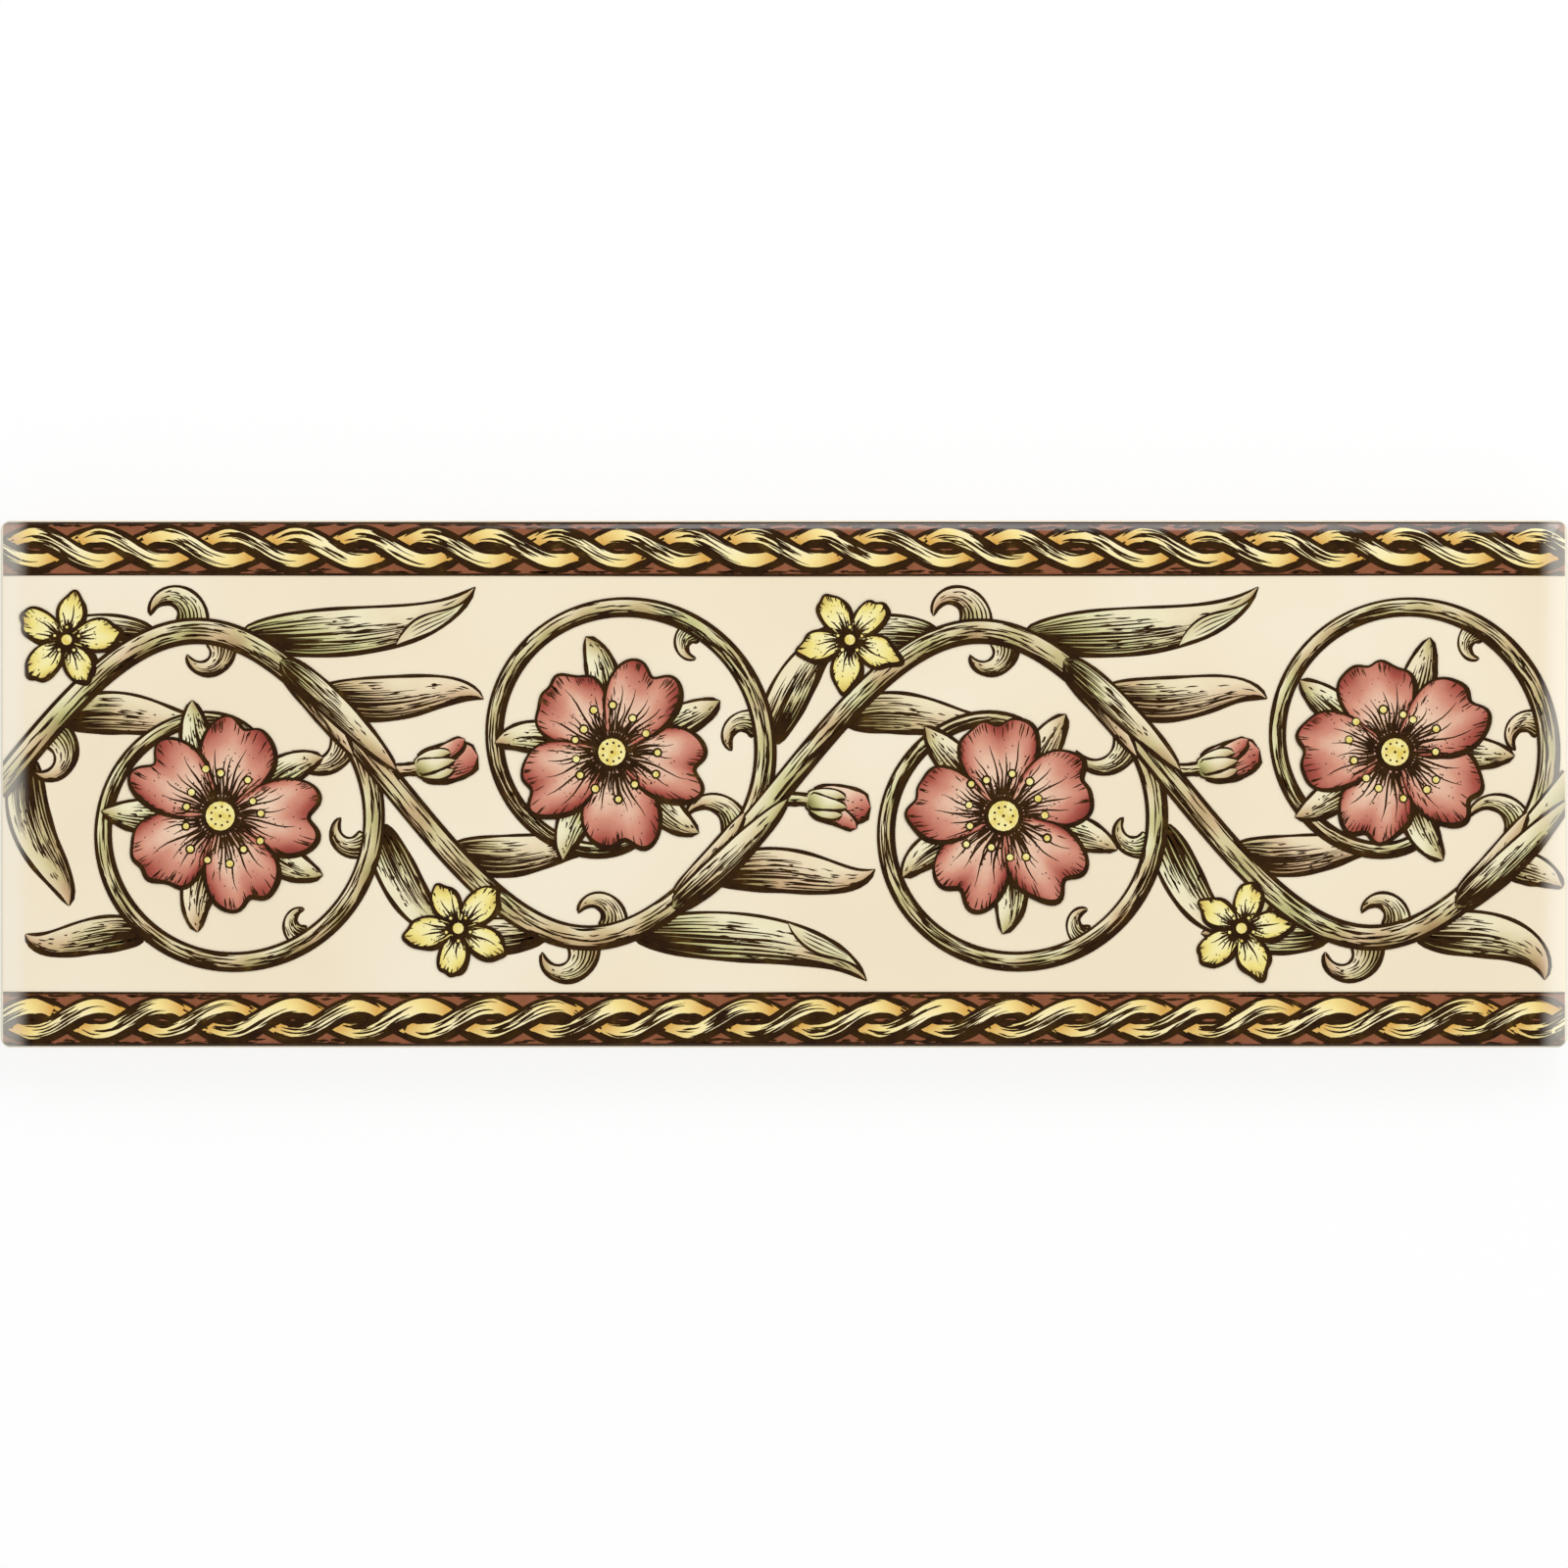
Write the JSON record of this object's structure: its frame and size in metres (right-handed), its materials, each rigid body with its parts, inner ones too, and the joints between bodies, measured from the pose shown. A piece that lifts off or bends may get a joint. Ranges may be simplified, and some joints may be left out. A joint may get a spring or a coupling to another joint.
{
  "type": "border tile",
  "caption": "Long narrow glazed ceramic border tile with a cushioned edge, a printed running scroll between rope bands, and a pocketed keying back.",
  "frame": {"origin": "middle of the back plane, where two lands of the keying grid cross", "axes": "+X along the border, +Z out of the glazed face, +Y across towards the border's upper edge"},
  "size_m": [0.152, 0.051, 0.007],
  "materials": {
    "glaze": "clear gloss glaze on a cream ground",
    "biscuit": "matte fired body, unglazed on the back and lower edges",
    "print_ink": "dark brown printed line under the clear glaze",
    "print_ground": "red-brown band ground under the clear glaze",
    "print_rope": "pale yellow rope strands under the clear glaze",
    "print_foliage": "olive to tan leaf wash under the clear glaze",
    "print_blossom": "dusty rose flower wash under the clear glaze"
  },
  "bodies": {
    "root": {"tile": "glaze"}
  },
  "joints": []
}
